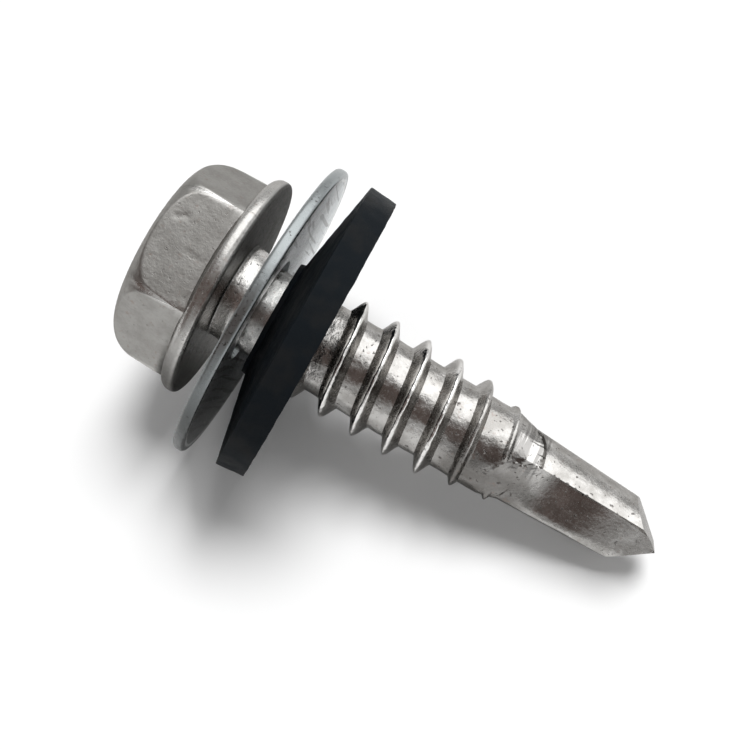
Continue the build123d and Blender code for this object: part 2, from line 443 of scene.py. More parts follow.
def washerSteel():
    look, radius = washerLook, steelWasher["radius"]
    material, tree = newMaterial("scratchedSteel")
    place = screwCoordinates(tree)
    side = add(tree, "ShaderNodeSeparateXYZ", {0: place}).outputs["X"]
    mottle, grain = (noise(tree, place, *look[name]) for name in ("mottle", "grain"))
    flat = add(tree, "ShaderNodeVectorMath", {0: place, 1: (1, 1, 0)},
               operation="MULTIPLY").outputs["Vector"]
    across = add(tree, "ShaderNodeVectorMath", {0: flat}, operation="LENGTH").outputs["Value"]
    rim = ramp(tree, across, *(radius - inward for inward in look["rimBand"]))
    wearAndHighlight = band(tree, across, *([radius - inward for inward in fade] for fade in look["wearAndHighlightBand"]))
    drawn = stretched(tree, place, look["scratchTurn"], look["scratchScale"])
    scratches = calc(tree, "MULTIPLY", spots(tree, drawn, look["scratches"]),
                     calc(tree, "SUBTRACT", 1.0, rim))
    # the low coat is painted shade, the worn ring wear with a painted highlight
    tone = coatOver(tree, mottledTone(tree, mottle, look), look, {
        "scratchCoat": scratches, "rimCoat": rim, "dotCoat": spots(tree, place, look["dots"]),
        "lowShadeCoat": ramp(tree, side, *look["lowSide"]), "wearAndHighlightCoat": wearAndHighlight})
    normal = bump(tree, grain, look["grainDepth"])
    normal = bump(tree, mottle, look["mottleDepth"], normal)
    normal = bump(tree, calc(tree, "MULTIPLY", scratches, -1.0), look["scratchDepth"], normal)
    finishMaterial(tree, "ShaderNodeBsdfPrincipled", {
        "Base Color": tone, "Metallic": 1.0, "Roughness": ramp(tree, grain, *look["roughness"]),
        "Normal": normal})
    return material


rubberLook = {
    "deep": (0.009, 0.0115, 0.014),
    "pale": (0.014, 0.015, 0.016),
    "mottleCut": (0.4, 0.7),
    "mottle": (0.7, 4.0, 0.6),
    "grain": (14.0, 3.0, 0.6),
    "roughness": (0.3, 0.7, 0.55, 0.42),   # span of the mottle, and the roughness at each end
    "grainDepth": 0.012,
    "shine": 0.03,
}


def sealRubber():
    look = rubberLook
    material, tree = newMaterial("blackRubber")
    place = screwCoordinates(tree)
    mottle, grain = (noise(tree, place, *look[name]) for name in ("mottle", "grain"))
    finishMaterial(tree, "ShaderNodeBsdfPrincipled", {
        "Base Color": mottledTone(tree, mottle, look), "Roughness": ramp(tree, mottle, *look["roughness"]),
        "Normal": bump(tree, grain, look["grainDepth"]), "Specular IOR Level": look["shine"]})
    return material


head = {
    "acrossFlats": 9.4,
    "height": 4.25,
    "cornerTaper": 3.0,
    "topRadius": 1.62,         # rounding over the top edge
    "dishDiameter": 5.4,
    "dishDepth": 0.35,
    "turn": 52.2,              # one corner of the hexagon, degrees
    "cornerRounding": 0.10,
    "ease": 0.2,               # share of each neighbour ring that softens the creases
    "flange": 11.7,
    "flangeRim": 0.7,
    "flangeCrown": 1.0,
    "rimTopRounding": 0.42,
    "rimFlat": 0.12,           # straight part of the rim
    "rimFootRounding": 0.22,
    "undercut": 0.05,
    "undercutMargin": 0.55,
    "neck": 4.9,
    "neckLength": 0.9,
    "neckTaper": 0.35,
    "neckFillet": 0.10,
    "offset": 0.17,            # the head sits this far beside the shank's axis
    "lean": 1.4,
    "bend": 1.3,               # the neck takes up both over this height
    # a dent and a scratch on one flat: from, to, depth, width
    "marks": (((1.575, 4.528, -3.388), (1.857, 4.49, -2.929), 0.035, 0.09),
              ((0.439, 4.684, -2.251), (0.332, 4.698, -1.287), 0.015, 0.08)),
    "markSide": 3.0,           # they mark only what stands further out than this
    # rings over each stretch, from the hollow in the top to the shank
    "rings": {"hollow": 8, "top": 4, "crown": 18, "flat": 24, "flange": 8, "rimTop": 7, "rimFoot": 5,
              "bearing": 9, "fillet": 8, "neck": 3, "taper": 4},
}
startAngle = radians(head["turn"])
roundAngles = startAngle + np.arange(columns) * 2 * pi / columns


def hexRadius():
    # distance from the axis to the rounded hexagon, at each column
    half = head["acrossFlats"] / 2
    offset = (np.degrees(roundAngles) - head["turn"]) % 60 - 30
    near = half / np.cos(np.radians(offset))
    far = half / np.cos(np.radians(60 - np.abs(offset)))
    return smoothMin(near, far, head["cornerRounding"])


def headEnvelope(count=400):
    # the turned form that rounds the top: distances from the axis and heights, from the top down
    corner = head["acrossFlats"] / 2 / cos(radians(30))
    taper = radians(head["cornerTaper"])
    top = corner - (head["height"] - head["flangeCrown"]) * tan(taper)
    reach = head["topRadius"] * tan((pi / 2 - taper) / 2)
    centre = (top - reach, -head["height"] + head["topRadius"])
    arc = np.linspace(0, pi / 2 - taper, count)
    radius = centre[0] + head["topRadius"] * np.sin(arc)
    height = centre[1] - head["topRadius"] * np.cos(arc)
    foot = np.linspace(height[-1], 0, count)[1:]
    return np.append(radius, radius[-1] + (foot - height[-1]) * tan(taper)), np.append(height, foot)


def headRings():
    rings, counts = [], head["rings"]
    dish, half = head["dishDiameter"] / 2, head["flange"] / 2
    ball = (dish ** 2 + head["dishDepth"] ** 2) / (2 * head["dishDepth"])
    bottom = -head["height"] + head["dishDepth"]
    ones = np.ones(columns)

    def turned(radius, height):
        rings.append(ringPoints(radius * ones, roundAngles, height * ones))

    for radius in dish * steps(counts["hollow"]):
        turned(radius, bottom - ball + sqrt(ball ** 2 - radius ** 2))
    radii, heights = headEnvelope()
    for radius in dish + (radii[0] - dish) * steps(counts["top"])[:-1]:
        turned(radius, -head["height"])
    # over the rounded top, down the flats and out over the flange
    hexagon = hexRadius()
    run = np.append(0, np.cumsum(np.hypot(np.diff(radii), np.diff(heights))))
    crease = np.interp(hexagon, radii, run)
    creaseHeight = np.interp(crease, run, heights)
    rise = (head["flangeCrown"] - head["flangeRim"]) / (half - head["acrossFlats"] / 2)
    junction = -head["flangeRim"] - (half - hexagon) * rise
    side = [(np.interp(crease * share, run, radii), np.interp(crease * share, run, heights))
            for share in steps(counts["crown"], 0)]
    side += [(hexagon, creaseHeight + (junction - creaseHeight) * share) for share in steps(counts["flat"])]
    rimTop, foot = head["rimTopRounding"], head["rimFootRounding"]
    rim = half - rimTop
    for share in steps(counts["flange"]):
        radius = hexagon + (rim - hexagon) * share
        side.append((radius, -head["flangeRim"] - (half - radius) * rise))
    side, ease = np.array(side), head["ease"]
    side[1:-1] = side[1:-1] * (1 - 2 * ease) + (side[:-2] + side[2:]) * ease
    for radius, height in side:
        rings.append(ringPoints(radius, roundAngles, height))
    # round the rim
    topEdge = -head["flangeRim"] - rimTop * rise
    drop = -topEdge - foot - head["rimFlat"]
    for angle in steps(counts["rimTop"]) * pi / 2:
        turned(rim + rimTop * sin(angle), topEdge + drop * (1 - cos(angle)))
    for angle in steps(counts["rimFoot"], 0) * pi / 2:
        turned(half - foot * (1 - cos(angle)), -foot * (1 - sin(angle)))
    # in over the bearing face and down the neck
    edge, neck, core = half - head["undercutMargin"], head["neck"] / 2, thread["core"] / 2
    fillet, undercut = head["neckFillet"], head["undercut"]
    turned((half - foot + edge) / 2, 0)
    for share in steps(counts["bearing"], 0):
        turned(edge + (neck + fillet - edge) * share, -undercut * share)
    for angle in steps(counts["fillet"]) * pi / 2:
        turned(neck + fillet * (1 - sin(angle)), -undercut + fillet * (1 - cos(angle)))
    for share in steps(counts["neck"]):
        turned(neck, -undercut + fillet + (head["neckLength"] + undercut - fillet) * share)
    for share in steps(counts["taper"]):
        turned(neck + (core - neck) * smooth(share), head["neckLength"] + head["neckTaper"] * share)
    turned(core, thread["low"])
    return np.array(rings), (0, 0, bottom)


# threaded shank, made by geometry nodes
thread = {
    "core": 4.5,
    "diameter": 6.05,
    "pitch": 1.8,
    "crest": 0.16,
    "crestRounding": 0.13,
    "rootRounding": 0.10,
    "flankAngle": 26.0,
    "crestAtZero": 5.9,        # a crest crosses the X axis at this height
    "start": 3.85,
    "leadIn": 0.7,
    "fadeStart": 12.0,
    "end": 15.9,
    "low": 1.4,                # the turned neck joins here
    "rowsPerTurn": 20,
    # row of each turn and how far along the pitch it stands, from a crest to the middle of the root
    "rows": ((1, 0.020), (2, 0.045), (3, 0.085), (4, 0.13), (5, 0.18), (6, 0.22), (7, 0.26), (8, 0.31)),
    # how much of the ridge is left, over the stretch where it fades
    "fade": ((0.0, 1.0), (0.28, 0.82), (0.51, 0.46), (0.74, 0.27), (0.92, 0.19), (1.0, 0.0)),
}


def shankTree(material):
    tree = bpy.data.node_groups.new("threadedShank", "GeometryNodeTree")
    tree.interface.new_socket("Geometry", in_out="OUTPUT", socket_type="NodeSocketGeometry")
    sizes = {
        "Core Radius": thread["core"] / 2,
        "Thread Radius": thread["diameter"] / 2,
        "Pitch": thread["pitch"],
        "Crest Width": thread["crest"],
        "Crest Rounding": thread["crestRounding"],
        "Root Rounding": thread["rootRounding"],
        "Flank Slope": tan(radians(thread["flankAngle"])),
        "First Crest": firstCrest(),
        "Start Angle": startAngle,
        "Low End": thread["low"],
        "High End": thread["end"],
        "Thread Start": thread["start"],
        "Lead In": thread["leadIn"],
        "Fade Start": thread["fadeStart"],
        "Taper Start": lying["length"] - drill["blankLength"],
        "Taper Slope": (thread["core"] - drill["blankTip"]) / 2 / drill["blankTaper"],
    }
    counts = {"Columns": columns + 1, "Rows Per Turn": thread["rowsPerTurn"], "Turns": turnCount()}
    for name in sizes:
        tree.interface.new_socket(name, in_out="INPUT", socket_type="NodeSocketFloat")
    for name in counts:
        tree.interface.new_socket(name, in_out="INPUT", socket_type="NodeSocketInt")
    given = tree.nodes.new("NodeGroupInput").outputs
    rows = calc(tree, "MULTIPLY", given["Turns"], given["Rows Per Turn"])
    grid = add(tree, "GeometryNodeMeshGrid", {
        "Size X": 1.0, "Size Y": 1.0,
        "Vertices X": given["Columns"], "Vertices Y": calc(tree, "ADD", rows, 1.0)})
    flat = add(tree, "ShaderNodeSeparateXYZ", {0: add(tree, "GeometryNodeInputPosition").outputs[0]})
    around = calc(tree, "ADD", flat.outputs["X"], 0.5)
    along = calc(tree, "MULTIPLY", calc(tree, "ADD", flat.outputs["Y"], 0.5), given["Turns"])
    share = floatCurve(tree, calc(tree, "FRACT", along), rowPoints(), "VECTOR")
    climb = calc(tree, "ADD", calc(tree, "ADD", calc(tree, "FLOOR", along), share), around)
    height = calc(tree, "MULTIPLY_ADD", climb, given["Pitch"], given["First Crest"])
    height = calc(tree, "MINIMUM", calc(tree, "MAXIMUM", height, given["Low End"]), given["High End"])
    # the ridge: how far this row stands from the crest, and what that leaves of its height
    off = calc(tree, "MULTIPLY", calc(tree, "PINGPONG", share, 0.5), given["Pitch"])
    off = calc(tree, "SUBTRACT", off, calc(tree, "MULTIPLY", given["Crest Width"], 0.5))
    off = calc(tree, "SMOOTH_MAX", off, 0.0, given["Crest Rounding"])
    ridge = calc(tree, "SUBTRACT", given["Thread Radius"], calc(tree, "DIVIDE", off, given["Flank Slope"]))
    lead = calc(tree, "DIVIDE", calc(tree, "SUBTRACT", height, given["Thread Start"]), given["Lead In"])
    lead = ramp(tree, lead, 0.0, 1.0)
    run = calc(tree, "SUBTRACT", given["High End"], given["Fade Start"])
    fade = calc(tree, "DIVIDE", calc(tree, "SUBTRACT", height, given["Fade Start"]), run)
    fade = floatCurve(tree, ramp(tree, fade, 0.0, 1.0, eased=False), thread["fade"], "AUTO")
    left = calc(tree, "SUBTRACT", 1.0, calc(tree, "MULTIPLY", lead, fade))
    rise = calc(tree, "SUBTRACT", given["Thread Radius"], given["Core Radius"])
    ridge = calc(tree, "SUBTRACT", ridge, calc(tree, "MULTIPLY", left, rise))
    past = calc(tree, "MAXIMUM", calc(tree, "SUBTRACT", height, given["Taper Start"]), 0.0)
    core = calc(tree, "SUBTRACT", given["Core Radius"], calc(tree, "MULTIPLY", past, given["Taper Slope"]))
    radius = calc(tree, "SMOOTH_MAX", ridge, core, given["Root Rounding"])
    # plain at both ends, where other parts join it
    ends = (calc(tree, "COMPARE", height, given[end], weld / 4) for end in ("Low End", "High End"))
    isEnd = calc(tree, "MAXIMUM", *ends)
    radius = add(tree, "ShaderNodeMix", {0: isEnd, 2: radius, 3: core}, data_type="FLOAT").outputs[0]
    angle = calc(tree, "MULTIPLY_ADD", around, 2 * pi, given["Start Angle"])
    place = add(tree, "ShaderNodeCombineXYZ", {
        "X": calc(tree, "MULTIPLY", radius, calc(tree, "COSINE", angle)),
        "Y": calc(tree, "MULTIPLY", radius, calc(tree, "SINE", angle)), "Z": height})
    moved = add(tree, "GeometryNodeSetPosition", {
        "Geometry": grid.outputs["Mesh"], "Position": place.outputs[0]})
    merged = add(tree, "GeometryNodeMergeByDistance", {
        "Geometry": moved.outputs[0], "Distance": weld / 2})
    real = add(tree, "GeometryNodeRealizeInstances", {"Geometry": merged.outputs[0]})
    painted = add(tree, "GeometryNodeSetMaterial", {"Geometry": real.outputs[0], "Material": material})
    add(tree, "NodeGroupOutput", {"Geometry": painted.outputs[0]})
    return tree, {**sizes, **counts}


def firstCrest():
    # height of a crest at the first column, at least a pitch below the neck
    crest = thread["crestAtZero"] + thread["pitch"] * startAngle / (2 * pi)
    while crest > thread["low"] - thread["pitch"]:
        crest -= thread["pitch"]
    return crest


def turnCount():
    return int((thread["end"] - firstCrest()) / thread["pitch"]) + 1


def rowPoints():
    rows = [(row / thread["rowsPerTurn"], share) for row, share in thread["rows"]]
    return [(0.0, 0.0)] + rows + [(1 - row, 1 - share) for row, share in reversed(rows)] + [(1.0, 1.0)]


def floatCurve(tree, value, places, handles):
    curve = add(tree, "ShaderNodeFloatCurve", {"Value": value})
    points = curve.mapping.curves[0].points
    points[0].location, points[1].location = places[0], places[-1]
    for place in places[1:-1]:
        points.new(*place)
    for point in points:
        point.handle_type = handles
    curve.mapping.update()
    return curve.outputs[0]


def shankMesh(material):
    tree, values = shankTree(material)
    holder = addObject("shankHolder", bpy.data.meshes.new("shankHolder"))
    modifier = holder.modifiers.new("threadedShank", "NODES")
    modifier.node_group = tree
    for item in tree.interface.items_tree:
        if item.in_out == "INPUT":
            modifier[item.identifier] = values[item.name]
    evaluated = holder.evaluated_get(bpy.context.evaluated_depsgraph_get())
    mesh = bpy.data.meshes.new_from_object(evaluated)
    holder.modifiers.remove(modifier)
    bpy.data.objects.remove(holder)
    return mesh


drill = {
    "turn": 80.7,              # where the first margin points
    "margin": 2.75,            # from the axis, where each land stands highest
    "heelStart": 1.97,
    "heelEnd": 1.55,
    "landArc": 2.72,
    "landLength": 8.2,
    "landSlant": 21.8,         # lands start further on towards their margins
    "blankLength": 8.95,
    "blankTaper": 2.35,
    "blankTip": 3.3,
    # the flute's floor from its start to full depth: height, distance from the axis, and how far
    # round from the margin it faces
    "floor": ((14.6, 2.50, 45.0), (15.0, 2.30, 44.5), (15.5, 2.02, 42.5), (16.0, 1.85, 38.5),
              (17.0, 1.35, 28.5), (18.0, 0.90, 20.0), (18.8, 0.76, 17.5), (20.2, 0.74, 20.0),
              (21.2, 0.74, 27.0), (22.4, 0.72, 33.0), (24.2, 0.70, 35.0)),
    "floorEase": 0.35,         # its bends are eased this far to both sides
    "fluteFrom": 14.3,         # the flutes run out into the thread down to this height
    "fluteReach": (-0.1, 125.0),   # degrees round from the margin
    "heelRounding": 0.5,
    "heelFrom": (30.0, 60.0),  # degrees round over which it takes over
    "edgeRounding": 0.05,
    "startRounding": 0.25,
    "edgeFrom": (16.1, 17.3),  # heights over which the edge turns crisp
    "shoulder": 0.94,          # how nearly the blank swells up to the land that follows
    "startStep": 0.05,
    "pressedDepth": 2.17,      # flat pressed beside each land's start
    "pressedTurn": -22.5,
    "pressedRounding": 0.12,
    "streakDepth": 0.022,
    "streakSeed": 5,
    "toothDepth": 0.045,       # torn teeth along the margin
    "toothSize": 0.4,
    "toothSeed": 9,
    "wallColumns": 6,          # columns squeezed onto the cutting edge's wall
    "wallLean": (-15.0, -5.0),  # how far its foot is cut back under the margin, at the start and the tip
    "wallFrom": (16.5, 17.5),  # heights over which it is cut back
    "wallTurn": (21.5, 24.0),  # and over which the lean changes
    "wallEase": 1.0,           # the columns move onto the wall over this, past the thread's end
    "pointAngle": 120.0,
    "relief": 45.0,
    "tipGuess": 1.0,           # the search for the point's edge starts this far before the tip
    "startRounds": 8,          # rounds in which the lands' starts and the point's edge settle
    "endRounds": 12,
    "blankRows": 18,
    "stepRows": 5,
    "landRows": 116,
    "capRows": 8,
}


def circleRay(centreX, centreY, radius, angle):
    # where rays from the axis leave a circle round it
    along = centreX * np.cos(angle) + centreY * np.sin(angle)
    return along + np.sqrt(np.maximum(along ** 2 - centreX ** 2 - centreY ** 2 + radius ** 2, 0))


def circleThrough(first, second, third):
    (ax, ay), (bx, by), (cx, cy) = first, second, third
    d = 2 * (ax * (by - cy) + bx * (cy - ay) + cx * (ay - by))
    a, b, c = ax * ax + ay * ay, bx * bx + by * by, cx * cx + cy * cy
    x = (a * (by - cy) + b * (cy - ay) + c * (ay - by)) / d
    y = (a * (cx - bx) + b * (ax - cx) + c * (bx - ax)) / d
    return x, y, np.hypot(ax - x, ay - y)


def landRadius(angle, height):
    # two lobes: each land runs from its margin back to its heel, and a rounder stretch joins them
    margin, length = drill["margin"], lying["length"]
    share = np.clip((height - length + drill["landLength"]) / drill["landLength"], 0, 1)
    heel = drill["heelStart"] + (drill["heelEnd"] - drill["heelStart"]) * share
    chord = np.hypot(margin, heel)
    lift = np.sqrt(drill["landArc"] ** 2 - chord ** 2 / 4)
    half = angle % pi
    land = circleRay(-margin / 2 + lift * heel / chord, heel / 2 - lift * margin / chord,
                     drill["landArc"], half)
    middle = (margin + heel) / 2 * sqrt(0.5)
    x, y, radius = circleThrough((margin, 0 * heel), (middle, middle), (0 * heel, heel))
    return np.where(half > pi / 2 - 0.0001, land, circleRay(x, y, radius, half))


def landStart(radius, angle):
    slope = tan(radians(drill["landSlant"]))
    return lying["length"] - drill["landLength"] + slope * radius * np.abs(np.cos(angle))


def blankRadius(height):
    end = lying["length"] - drill["blankLength"]
    past = np.clip((height - end) / drill["blankTaper"], 0, 1.5)   # hidden in the lands beyond
    return thread["core"] / 2 - past * (thread["core"] - drill["blankTip"]) / 2


def flatRadius(depth, facing, angle, least=0.05):
    # distance from the axis to a flat or its twin half a turn on; least keeps it finite
    away = (angle - facing + pi / 2) % pi - pi / 2
    return depth / np.maximum(np.cos(away), least)


def floorPlane(angle, height):
    # distance from the axis to the flute's floor
    heights, depths, facings = (np.array(column) for column in zip(*drill["floor"]))
    near = [height + shift for shift in np.linspace(-drill["floorEase"], drill["floorEase"], 5)]
    depth, facing = (sum(np.interp(place, heights, values) for place in near) / len(near)
                     for values in (depths, facings))
    return flatRadius(depth, np.radians(facing), angle)


def fluteFloor(angle, height):
    # the same within the flutes, and far out elsewhere; angles are counted from just before a margin
    first, last = np.radians(drill["fluteReach"])
    place = (angle + pi / 6) % pi - pi / 6
    return np.where(within(place, first, last), floorPlane(angle, height), farOut)


def wallFoot(height):
    # how far round the wall under each margin meets the flute's floor
    start, tip = drill["wallLean"]
    lean = start + (tip - start) * portion(height, *drill["wallTurn"])
    return np.radians(lean * portion(height, *drill["wallFrom"]))


def carve(outer, angle, height):
    # cuts the flutes: crisp along the margin, rounded at the heel and where they start
    start, edge = drill["startRounding"], drill["edgeRounding"]
    crisp = start + (edge - start) * portion(height, *drill["edgeFrom"])
    heel = portion(np.degrees(angle % pi), *drill["heelFrom"])
    rounding = crisp + (drill["heelRounding"] - crisp) * heel
    return smoothMin(outer, fluteFloor(angle, height), rounding)


def swollenBlank(angle, height, streaks):
    # the blank swells up to the lands, and a flat is pressed beside the start of each
    blank, land = blankRadius(height), landRadius(angle, height)
    swell = portion(height, thread["end"], landStart(land, angle))
    swollen = np.maximum(blank, blank + (land * drill["shoulder"] - blank) * swell)
    pressed = flatRadius(drill["pressedDepth"], radians(drill["pressedTurn"]), angle)
    return smoothMin(swollen, pressed, drill["pressedRounding"]) + streaks * swell


def drillRings():
    # columns are counted from the first margin, and every other quarter of them is a flute
    count, wall = columns // 4, drill["wallColumns"]
    around = (roundAngles - radians(drill["turn"])) / (2 * pi)
    even = np.round(around * columns).astype(int) % columns
    angles = even * 2 * pi / columns
    quarter, place = even // count, even % count
    isFloor = quarter % 2 == 0
    isWall = isFloor & (place < wall)
    streaks = np.random.default_rng(drill["streakSeed"]).uniform(-1, 1, columns) * drill["streakDepth"]
    rings = []

    def outer(angle, height, isLand):
        if isLand:
            return np.maximum(blankRadius(height), landRadius(angle, height))
        return swollenBlank(angle, height, streaks)

    def surface(height, isLand):
        # the columns of the fluted quarters crowd onto the wall past the start
        ease = portion(height, thread["end"], thread["end"] + drill["wallEase"])
        lean = wallFoot(height)
        spread = lean * np.minimum(place / wall, 1) + (pi / 2 - lean) * portion(place, wall, count)
        squeezed = np.where(isFloor, quarter * pi / 2 + spread, angles)
        angle = angles + (squeezed - angles) * smooth(ease)
        edge = quarter * pi / 2 + 0 * height
        teeth = np.clip(waves(np.stack([height] * 3, -1), drill["toothSize"], drill["toothSeed"]), 0, 1)
        onEdge = outer(edge, height, isLand) - drill["toothDepth"] * teeth * isLand
        foot = np.minimum(floorPlane(edge + lean, height), onEdge)
        onWall = onEdge + (foot - onEdge) * place / wall
        ahead = np.where(isFloor, np.maximum(angle, edge), angle)
        cut = carve(outer(ahead, height, isLand), ahead, height)
        cut = np.where(isFloor & (angle < edge), floorPlane(angle, height), cut)
        return cut + np.where(isWall, onWall - cut, 0) * ease, angle

    def addRing(radius, angle, height):
        rings.append(ringPoints(radius, angle + radians(drill["turn"]), height))

    start = np.full(columns, lying["length"] - drill["landLength"])
    for _ in range(drill["startRounds"]):
        start = landStart(*surface(start, True))
    low, blankEnd = thread["end"], start - drill["startStep"]
    for share in steps(drill["blankRows"], 0):
        height = low + (blankEnd - low) * share
        radius, angle = surface(height, False)
        if share == 0:
            radius = blankRadius(height)      # as round as the shank that it joins
        addRing(radius, angle, height)
    foot, top = (*surface(blankEnd, False), blankEnd), (*surface(start, True), start)
    for share in steps(drill["stepRows"]):
        addRing(*(a + (b - a) * share for a, b in zip(foot, top)))
    fallAhead, fallBehind = 1 / tan(radians(drill["pointAngle"] / 2)), tan(radians(drill["relief"]))
    end = np.full(columns, lying["length"] - drill["tipGuess"])
    for _ in range(drill["endRounds"]):
        radius, angle = surface(end, True)
        fall = np.abs(fallAhead * np.cos(angle) - fallBehind * np.sin(angle))
        end = (end + lying["length"] - fall * radius) / 2
    for share in steps(drill["landRows"]):
        height = start + (end - start) * share
        radius, angle = surface(height, True)
        addRing(radius, angle, height)
    for share in 1 - steps(drill["capRows"])[:-1]:
        addRing(radius * share, angle, lying["length"] - (lying["length"] - end) * share)
    return np.array(rings), (0, 0, lying["length"])


flash = {
    # torn edge left where the flutes begin: degrees round, height
    "line": ((131, 14.8), (128, 14.9), (112, 15.22), (102, 15.38), (91, 15.75), (89.5, 16.27),
             (85, 16.83), (80, 17.1)),
    "heights": (14.4, 17.5),   # it reaches no further than these
    "radius": 2.2,             # of the blank, to measure round it
    "height": 0.085,
    "width": 0.085,
    "even": 0.55,              # share of the height that is the same all along
    "uneven": (0.45, 0.35, 21),    # share that varies, the size of its waves and their seed
    "groove": (0.02, 0.16, 0.08),  # beside it: depth, distance and width
}
wear = {
    "crestReach": (2.55, 2.95),    # distances from the axis over which a crest's wear sets in
    "crestHeights": (2.0, 16.0),
    "crestWaves": ((0.007, 0.9, 31), (0.005, 0.28, 33)),   # depth, size and seed
    "crestSunk": 0.01,
    "crestDrift": ((0.012, 0.7, 35),),
    "rootReach": (2.5, 2.3),
    "rootHeights": (1.3, 15.0),
    "rootWaves": ((0.011, 0.8, 37),),
    # polished steel and painted highlight: where it sets in, where it lies, and how bright it is
    "brightCrest": (2.84, 2.92),
    "brightCrestHeights": (2.0, 15.6),
    "cornerWidth": (2.0, 0.75),    # degrees from a corner of the hexagon
    "cornerTop": (-3.6, -3.27),
    "cornerHeights": (-farOut, -1.3),
    "cornerFrom": 4.5,
    "cornerShine": 0.8,
    "flatDepths": (2.05, 2.24),    # the pressed flats
    "flatWidth": 0.95,
    "flatHeights": (15.6, 17.1),
    "flatShine": 0.5,
    "rimReach": (5.15, 5.40),
    "rimHeights": (-1.2, -0.15),
    "rimShine": 0.35,
}


def summedWaves(points, looks):
    return sum(depth * waves(points, size, seed) for depth, size, seed in looks)


def raiseFlash(points):
    near = within(points[:, 2], *flash["heights"])
    part = points[near]
    across = np.hypot(part[:, 0], part[:, 1])
    here = np.stack([np.arctan2(part[:, 1], part[:, 0]) % (2 * pi) * flash["radius"], part[:, 2]], -1)
    grooveDepth, grooveGap, grooveWidth = flash["groove"]
    rough = flash["even"] + summedWaves(part, [flash["uneven"]])
    for turn in (0, 180):
        line = [np.array((radians(angle + turn) * flash["radius"], height))
                for angle, height in flash["line"]]
        gap = np.min([gapTo(here, first, last) for first, last in zip(line, line[1:])], axis=0)
        rise = flash["height"] * rough * np.exp(-(gap / flash["width"]) ** 2)
        rise -= grooveDepth * np.exp(-((gap - grooveGap) / grooveWidth) ** 2)
        points[near, :2] *= ((across + rise) / across)[:, None]


def wearCrests(points):
    # rolled crests are uneven, and the root waves a little
    across = np.hypot(points[:, 0], points[:, 1])
    radius = across.clip(0.5)      # nothing nearer the axis is worn
    crest = portion(across, *wear["crestReach"]) * within(points[:, 2], *wear["crestHeights"])
    uneven = summedWaves(points, wear["crestWaves"]) - wear["crestSunk"]
    points[:, :2] *= (1 + crest * uneven / radius)[:, None]
    points[:, 2] += crest * summedWaves(points, wear["crestDrift"])
    root = portion(across, *wear["rootReach"]) * within(points[:, 2], *wear["rootHeights"])
    points[:, :2] *= (1 + root * summedWaves(points, wear["rootWaves"]) / radius)[:, None]


def markWearAndHighlight(points, mesh):
    # where handling has polished the steel, with a painted highlight in paler colour: crests, the hexagon's
    # corners, the pressed flats, the rim
    across = np.hypot(points[:, 0], points[:, 1])
    turn = np.degrees(np.arctan2(points[:, 1], points[:, 0]))
    height = points[:, 2]
    crest = portion(across, *wear["brightCrest"]) * within(height, *wear["brightCrestHeights"])
    fromCorner = np.abs((turn - head["turn"] + 30) % 60 - 30)
    corner = portion(fromCorner, *wear["cornerWidth"]) * portion(height, *wear["cornerTop"])
    corner = corner * within(height, *wear["cornerHeights"]) * (across > wear["cornerFrom"])
    facing = radians(drill["turn"] + drill["pressedTurn"])
    ahead = np.abs(points[:, 0] * cos(facing) + points[:, 1] * sin(facing))
    aside = np.abs(points[:, 1] * cos(facing) - points[:, 0] * sin(facing))
    flat = within(ahead, *wear["flatDepths"]) * (aside < wear["flatWidth"])
    flat = flat * within(height, *wear["flatHeights"])
    rim = portion(across, *wear["rimReach"]) * within(height, *wear["rimHeights"])
    wearAndHighlight = np.max([crest, corner * wear["cornerShine"], flat * wear["flatShine"],
                   rim * wear["rimShine"]], axis=0)
    layer = mesh.attributes.new("wearAndHighlight", "FLOAT", "POINT")
    layer.data.foreach_set("value", wearAndHighlight.astype(np.float32))


def markHead(points):
    # a dent and a scratch on one flat; the head sits a little aside and leans
    for first, last, depth, width in head["marks"]:
        gap = gapTo(points, np.array(first), np.array(last))
        points[:, 1] -= depth * np.exp(-(gap / width) ** 2) * (points[:, 1] > head["markSide"])
    share = smooth(portion(points[:, 2], head["bend"], 0))
    lean = sin(radians(head["lean"])) * share
    x, z = points[:, 0].copy(), points[:, 2].copy()
    points[:, 0] += head["offset"] * share + z * lean
    points[:, 2] -= x * lean


def workScrew(points, mesh):
    # the flutes end in the last of the thread, and the cut reaches a little past its end
    near = within(points[:, 2], drill["fluteFrom"], thread["end"] + weld * 5)
    part = points[near]
    across = np.hypot(part[:, 0], part[:, 1])
    angle = np.arctan2(part[:, 1], part[:, 0]) - radians(drill["turn"])
    points[near, :2] = part[:, :2] * (carve(across, angle, part[:, 2]) / across)[:, None]
    markWearAndHighlight(points, mesh)
    wearCrests(points)
    raiseFlash(points)
    markHead(points)
    return points


def buildScrew():
    forged = screwSteel()
    top, crown = headRings()
    point, tip = drillRings()
    meshes = [gridMesh("head", top, startPole=crown), shankMesh(forged),
              gridMesh("drillPoint", point, endPole=tip)]
    finishPiece("hexScrew", meshes, forged, "screw", "self_drilling_screw",
                change=workScrew)


buildScrew()

steelWasher = {
    "radius": 7.92,
    "bore": 2.75,
    "thickness": 0.58,
    "dish": 0.38,
    "edge": 0.25,              # rounding of the rim, and of the bore
    "boreEdge": 0.04,
    "gap": 1.04,               # bearing face to the washer's bore
    "lean": 0.9,
    "leanTurn": -71.0,
    "columns": 288,
    "spacing": 0.16,           # points along the outline
}
rubberWasher = {
    "radius": 7.725,
    "bore": 2.3,
    "thickness": 1.45,
    "dish": 1.05,
    "rimDraw": 0.12,           # the rim leans in by this towards the point
    "edge": 0.05,
    "boreEdge": 0.05,
    "lipWidth": 0.75,          # raised round the bore
    "lipHeight": 0.1,
    "lipEdges": (0.06, 0.04),
    "offset": 0.22,            # the rim sits aside, drawn by its own stretch
    "ragged": 0.010,
    "raggedSize": 0.8,
    "raggedSeeds": (41, 42, 43),
    "gap": 2.36,
    "lean": 4.2,
    "leanTurn": -67.0,
    "columns": 300,
    "spacing": 0.16,
}


